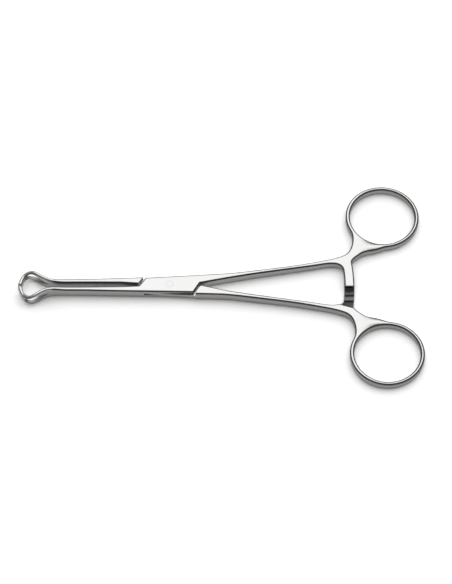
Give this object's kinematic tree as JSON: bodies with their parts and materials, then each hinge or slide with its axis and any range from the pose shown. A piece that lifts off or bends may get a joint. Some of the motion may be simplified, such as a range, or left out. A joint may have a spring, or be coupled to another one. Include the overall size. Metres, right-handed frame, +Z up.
{
  "type": "babcock forceps",
  "caption": "Ring-handled tissue forceps with a box lock, a toothed ratchet between the shanks, and bowed jaws with open windows that meet at blunt tips.",
  "frame": {"origin": "on the lower face of the box lock, on the axis of the joint pin", "axes": "+X runs from the pivot to the finger rings, +Y to the ring of the box half, +Z up out of the flat of the forceps"},
  "size_m": [0.1589, 0.0932, 0.006],
  "materials": {
    "forged_steel": "satin",
    "pin_steel": "satin"
  },
  "bodies": {
    "box_side": {"box_half": "forged_steel", "joint_pin": "pin_steel"},
    "tongue_side": {"tongue_half": "forged_steel"}
  },
  "joints": [
    {"name": "box_lock", "type": "hinge", "parent": "box_side", "child": "tongue_side", "pos_m": [0, 0, 0.002], "axis": [0, 0, -1], "range_deg": [-1.1, 45]}
  ]
}
